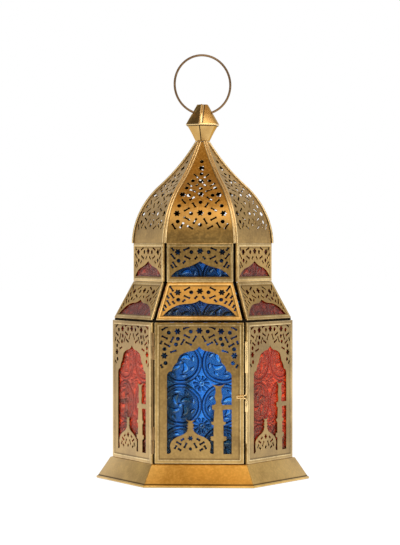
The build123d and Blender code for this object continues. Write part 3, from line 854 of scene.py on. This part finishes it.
def softened(node, edge, name):
    """A copy of a CAD node with its flats merged and its edges eased."""
    shape = bmesh.new()
    shape.from_mesh(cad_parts[node].data)
    bmesh.ops.remove_doubles(shape, verts=shape.verts, dist=1e-6)
    bmesh.ops.dissolve_limit(
        shape, angle_limit=radians(1), verts=shape.verts, edges=shape.edges, use_dissolve_boundaries=False
    )
    ease(shape, edge, 25)
    return finished(shape, name)


def corner_at(radius, height, turn):
    return Vector((radius * cos(radians(turn)), radius * sin(radians(turn)), height))


# The finial is turned on the dome; two of its ridges bound the facet in front
finial_turn = 21
front_ridge, next_ridge = finial_turn + 240, finial_turn + 300
cone_foot, cone_head = (12.2, 248.9), (4.0, 262.6)


def hexagon_bead(radius, height, thick):
    corners = [corner_at(radius, height, finial_turn + 60 * count) * mm for count in range(6)]
    return tube(corners, thick * mm, closed=True)


# The upper cone is folded from one sheet, whose end laps round the front ridge
ridge_foot, ridge_head = corner_at(*cone_foot, front_ridge), corner_at(*cone_head, front_ridge)
along = (corner_at(*cone_foot, next_ridge) - ridge_foot).normalized()
out = along.cross(ridge_head - ridge_foot).normalized()
up = out.cross(along)
head_x, head_y = (ridge_head - ridge_foot).dot(along), (ridge_head - ridge_foot).dot(up)
facet = Matrix.Scale(mm, 4) @ Matrix.Translation(ridge_foot) @ Matrix((along, up, out)).transposed().to_4x4()
lap = cut_sheet([[(-0.1, 0.4), (2.4, 0.4), (head_x + 2.0, head_y - 0.3), (head_x, head_y - 0.3)]], 0.45, 0.15)
lap.transform(facet @ Matrix.Translation((0, 0, 0.3)))
fold = tube([ridge_foot * mm, ridge_head * mm], 0.5 * mm)
# A near-black tube paints the shadow line along the lap's edge; the lap, the fold and the lip bead take the pale bead
# brass, painted lighter as highlight
gap = tube([facet @ Vector((2.65, 0.6, 0)), facet @ Vector((head_x + 2.2, head_y - 0.4, 0))], 0.28 * mm)
upper_cone = joined(
    "finial_upper", softened("finial_upper", 0.2, "cone"), gap, lap, fold, hexagon_bead(11.5, 248.5, 0.8),
    finishes=(0, 1, 2, 2, 2),
)
lower_profile = [
    (5.2, 236.9), (7.3, 241.0), (9.5, 244.9), (11.6, 248.1), (10.8, 248.1), (8.7, 245.0), (6.5, 241.1), (4.5, 236.9),
]
# The lower cone's seam tube and the thin bead under the lip are near-black; the bead is painted shadow under the lip
lower_seam = tube(
    [corner_at(radius + 0.1, height, front_ridge) * mm for radius, height in lower_profile[:4]], 0.33 * mm
)
lower_cone = joined(
    "finial_lower", hexagon_shell("cone", lower_profile, finial_turn, 0.12), lower_seam,
    hexagon_bead(11.45, 247.7, 0.35), finishes=(0, 1, 1),
)
put(lower_cone, "folded_finial_lower", (finial_brass, shade_black_brass), "frame", "finial_lower")
put(upper_cone, "folded_finial_upper", (finial_brass, shade_black_brass, bead_brass), "frame", "finial_upper")

ring_height, ring_radius, ring_turn = 276.638, 20.6, radians(finial_turn)
ring_steps, ring_wire, latch_wire_radius = 96, 0.8, 0.5
ring_points = []
for count in range(ring_steps):
    swing = 2 * pi * count / ring_steps
    across = ring_radius * sin(swing)
    ring_points.append(
        (across * cos(ring_turn) * mm, across * sin(ring_turn) * mm, (ring_height - ring_radius * cos(swing)) * mm)
    )
hanging_ring = tube(ring_points, ring_wire * mm, closed=True)
put(hanging_ring, "wire_hanging_ring", wire_brass, "ring", "hanging_ring")

latch_radius, hinge_radius = 64.0, 63.3
latch_x, latch_y, _ = corner_at(latch_radius, 0, -60)
finger_y, finger_z = -apothem(body_radius) - 1.0, body_foot + 45.9


def on_axis(*levels):
    return [(latch_x, latch_y, level) for level in levels]


latch_points = on_axis(98.6, 81.0, 66.0, finger_z + 2.6) + [(latch_x - 0.2, latch_y, finger_z + 1.3)]
for x, z in ((1.6, 0.8), (5.6, 0.7), (6.4, 0.6), (6.4, -0.6), (5.6, -0.7), (1.6, -0.8)):
    latch_points.append((latch_x - x, finger_y, finger_z + z))
latch_points += [(latch_x - 0.2, latch_y, finger_z - 1.2)] + on_axis(finger_z - 2.2, 51.0, 41.0, 29.5)
latch_wire = tube([(x * mm, y * mm, z * mm) for x, y, z in latch_points], latch_wire_radius * mm, smooth=True)
put(latch_wire, "bent_latch_wire", latch_brass, "latch", "latch_wire")

knuckle_radius, knuckle_bore, web_half = 1.05, 0.68, 0.45


def knuckles(name, axis_radius, axis_turn, reach, direction, tubes):
    """Rolled tubes on one axis, each with a web to its panel; a tube is its foot and its length."""
    web = [cmath.rect(knuckle_radius, radians(turn)) for turn in range(26, 335, 14)]
    web += [complex(reach, -web_half), complex(reach, web_half)]
    bore = [cmath.rect(knuckle_bore, pi * count / 10) for count in range(20)]
    meshes = []
    for foot, length in tubes:
        mesh = cut_sheet([[(point.real, point.imag) for point in loop] for loop in (web, bore)], length, 0.1, 1)
        mesh.transform(Matrix.Translation((0, 0, foot + length)) @ Matrix.Rotation(radians(direction), 4, "Z"))
        mesh.transform(Matrix.Scale(mm, 4) @ Matrix.Translation(corner_at(axis_radius, 0, axis_turn)))
        meshes.append(mesh)
    return joined(name, *meshes)


frame_tubes = knuckles("hinge_frame", hinge_radius, 240, 1.34, 120, ((95.5, 9.0), (22.2, 9.0)))
put(frame_tubes, "rolled_hinge_tubes_frame", pin_brass, "frame", "hinge_knuckles_frame")
door_tubes = knuckles("hinge_door", hinge_radius, 240, 1.34, 0, ((86.2, 9.0), (31.5, 9.0)))
put(door_tubes, "rolled_hinge_tubes_door", pin_brass, "door", "hinge_knuckles_door")
latch_tubes = knuckles("latch_tubes", latch_radius, 300, 1.69, 60, ((77.3, 21.3), (51.0, 7.4)))
put(latch_tubes, "rolled_latch_tubes", pale_brass, "frame", "latch_knuckles")

cup_profile = [
    (0, 16.1), (19.3, 16.1), (20.1, 16.9), (20.1, 22.5), (20.0, 22.9), (19.8, 23.1), (19.65, 22.9), (19.6, 22.5),
    (19.6, 17.1), (19.2, 16.7), (0, 16.7),
]
cup = finished(spun(cup_profile, 48, closed=False), "cup")
put(cup, "spun_candle_cup", pale_brass, "frame", "candle_cup")


# Panes: the pattern is pressed into their outer faces, and their material colours it
press_depth, pane_border = 0.14 * mm, 0.8 * mm


def step(value, low, high):
    """0 below the low end, 1 above the high end and smooth between them."""
    share = min(max((value - low) / (high - low), 0), 1)
    return share * share * (3 - 2 * share)


def round_ridge(reach, radius, width):
    return 1 - step(abs(reach - radius), width * ridge_top, width)


def pressed_height(x, z):
    """Height of the pattern, from 0 to 1, at a place on a pane in millimetres."""
    waves = sin(x * wave_across) * sin(z * wave_up) * wave_reach
    columns, rows_up = (x + waves - lattice_x) / pitch, (z + waves - lattice_z) / pitch
    x, y = (columns % 1 - 0.5) * pitch, (rows_up % 1 - 0.5) * pitch
    reach, angle = hypot(x, y), atan2(y, x)
    gap_x, gap_y = pitch / 2 - abs(x), pitch / 2 - abs(y)
    gap, gap_angle = hypot(gap_x, gap_y), atan2(gap_y, gap_x)
    leaves = step(cos(angle * leaf_count + reach * leaf_twist), *leaf_cut)
    leaves *= step(reach, *leaf_foot) * (1 - step(reach, *leaf_tip))
    buds = step(cos(angle * bud_count + reach * bud_twist), *bud_cut) * round_ridge(reach, bud_reach, bud_width)
    daisy = step(cos(gap_angle * ray_count), *ray_cut) * (1 - step(gap, *ray_tip)) * step(gap, *ray_foot)
    heart, eye = 1 - step(reach, *heart_edge), round_ridge(gap, eye_reach, eye_width)
    return max(round_ridge(reach, ring_reach, ring_width), leaves, buds, heart, daisy, eye)


def pressed_pane(node, turn, spacing):
    """The pane of a CAD node, turned to the front, with a grid of this spacing as its outer face."""
    back = Matrix.Rotation(-turn, 4, "Z")
    corners = {tuple(round(value, 7) for value in back @ point.co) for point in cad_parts[node].data.vertices}
    levels = sorted(corners, key=lambda corner: corner[2])
    ends = [sorted(level, key=lambda corner: corner[1]) for level in (levels[:4], levels[4:])]
    outer, inner = (
        [[Vector(corner) for corner in sorted(end[part])] for end in ends] for part in (slice(0, 2), slice(2, 4))
    )
    width, height = (outer[0][1] - outer[0][0]).length, (outer[1][0] - outer[0][0]).length
    shape = bmesh.new()
    bmesh.ops.create_grid(shape, x_segments=round(width / spacing), y_segments=round(height / spacing), size=0.5)
    rim = [edge for edge in shape.edges if edge.is_boundary]
    made = bmesh.ops.extrude_edge_only(shape, edges=rim)["geom"]
    behind = {item for item in made if isinstance(item, bmesh.types.BMVert)}
    for point in shape.verts:
        across, up = point.co.x + 0.5, point.co.y + 0.5
        foot, head = inner if point in behind else outer
        point.co = foot[0].lerp(foot[1], across).lerp(head[0].lerp(head[1], across), up)
        if point not in behind:
            margin = min(min(across, 1 - across) * width, min(up, 1 - up) * height)
            sunk = step(margin, 0, pane_border) * (1 - pressed_height(point.co.x / mm, point.co.z / mm))
            point.co.y += sunk * press_depth
    bmesh.ops.holes_fill(shape, edges=[edge for edge in shape.edges if edge.is_boundary])
    bmesh.ops.recalc_face_normals(shape, faces=shape.faces)
    return finished(shape, node)


wide_grid, fine_grid = 0.6 * mm, 0.55 * mm
door_pane = pressed_pane("door_pane", 0, fine_grid)
body_pane = pressed_pane("body_pane_back", pi, fine_grid)
shoulder_pane = pressed_pane("shoulder_pane_front", 0, wide_grid)
collar_pane = pressed_pane("collar_pane_front", 0, wide_grid)
for count, side in enumerate(sides):
    turn = radians(60 * count)
    # The panes at the back are paler, and light those in front
    if side in ("front", "back"):
        colour, upper_shades, index = "blue", deep_blue_shades, clear_index
        body_shades = blue_shades if side == "front" else pale_blue_shades
    else:
        colour, upper_shades, index = "red", deep_red_shades, dense_index
        body_shades = pale_red_shades if side.startswith("back") else red_shades
    body_glass = pressed_glass(f"{colour}_glass_{side}", *body_shades, turn)
    upper_glass = pressed_glass(f"deep_{colour}_glass_{side}", *upper_shades, turn, index)
    if side == "front":
        put(door_pane, "pressed_door_pane", body_glass, "door", "door_pane")
    else:
        put(around(body_pane, count), f"pressed_body_pane_{side}", body_glass, "frame", f"body_pane_{side}")
    for row, pane in (("shoulder", shoulder_pane), ("collar", collar_pane)):
        put(around(pane, count), f"pressed_{row}_pane_{side}", upper_glass, "frame", f"{row}_pane_{side}")

# CAD pieces that show as they are
# The corner posts and the waist ring are painted near-black, as shade in the gaps
plain = {f"corner_post_{count}": shade_black_brass for count in range(1, 7)}
plain |= {"waist_ring": shade_black_brass, "floor_plate": shade_black_brass, "hinge_pin": pin_brass}
for node, material in plain.items():
    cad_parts[node].data.materials.clear()
    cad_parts[node].data.materials.append(material)


# Floor, world and lamps
shape = bmesh.new()
bmesh.ops.create_grid(shape, x_segments=1, y_segments=1, size=6.0)
floor_mesh = finished(shape, "floor")
floor = bpy.data.objects.new("floor", floor_mesh)
# A hair below the foot
floor.location.z = -0.2 * mm
scene.collection.objects.link(floor)
# White to the camera; in the glass and brass it is warm near by and dim far in front; matt to all other rays
floor_paint, here, place = new_material("floor_paint")
to_camera = here.make("ShaderNodeLightPath", output="Is Camera Ray")
seen = to_camera
for kind in ("Is Glossy Ray", "Is Transmission Ray"):
    seen = seen.most(here.make("ShaderNodeLightPath", output=kind))
far = (0 - place.parts()[1]).between(0.25, 1.05) * (1 - to_camera)
near = to_camera.blend((1.3, 1.26, 1.18), (1, 1, 1))
glow = here.make("ShaderNodeEmission", None, {0: far.blend(near, (0.33, 0.315, 0.29)), 1: 1.0})
veil = here.make("ShaderNodeBsdfDiffuse", None, {0: (0.1, 0.1, 0.1)})
lit = here.make("ShaderNodeAddShader", None, {0: glow, 1: veil})
matt = here.make("ShaderNodeBsdfDiffuse", None, {0: (0.85, 0.85, 0.85)})
mixed = here.make("ShaderNodeMixShader", None, {0: seen, 1: matt, 2: lit})
here.make("ShaderNodeOutputMaterial", None, {0: mixed})
floor_mesh.materials.append(floor_paint)

world = bpy.data.worlds.new("studio")
scene.world = world
world.use_nodes = True
world.node_tree.nodes.clear()
here = Value(world.node_tree, None)
aside, ahead, rise = here.make("ShaderNodeTexCoord", output="Generated").parts()
front = (0 - ahead).between(0.2, 0.85)
behind = ahead.between(0.55, 0.95)
ceiling = rise.between(0.4, 0.85)
walls = behind.most(rise.between(0.35, 0.9) * 0.7).blend((0.62, 0.61, 0.6), (1, 1, 1))
room = front.blend(walls, (0.245, 0.23, 0.2))
warm = (ceiling * (0 - ahead).between(-0.5, 0.2)).blend(room, (0.55, 0.28, 0.034))
dim = (0 - aside).between(0.3, 0.5) * (0 - ahead).between(-0.45, -0.2) * rise.between(0.25, 0.45)
warm = dim.blend(warm, (0.03, 0.018, 0.012))
tone = here.make("ShaderNodeLightPath", output="Is Camera Ray").blend(warm, (1, 1, 1))
back = here.make("ShaderNodeBackground", None, {0: tone, 1: 1.0})
here.make("ShaderNodeOutputWorld", None, {0: back})


def lamp(name, place, aim, width, height, watts, tint):
    light = bpy.data.lights.new(name, "AREA")
    light.shape = "RECTANGLE"
    light.size, light.size_y = width, height
    light.energy = watts
    light.color = tint
    holder = bpy.data.objects.new(name, light)
    holder.location = place
    holder.rotation_euler = (Vector(aim) - Vector(place)).to_track_quat("-Z", "Y").to_euler()
    scene.collection.objects.link(holder)


lamp("key_above", (0.1, -1.2, 1.15), (0, 0, 0.13), 0.62, 0.62, 2.6, (1.0, 0.78, 0.48))
lamp("front_left", (-0.94, -1.04, 0.9), (0, 0, 0.3), 0.45, 1.8, 8.4, (1.0, 0.93, 0.8))
lamp("front_right", (0.99, -0.99, 0.9), (0, 0, 0.3), 0.45, 1.8, 10.8, (1.0, 0.93, 0.8))
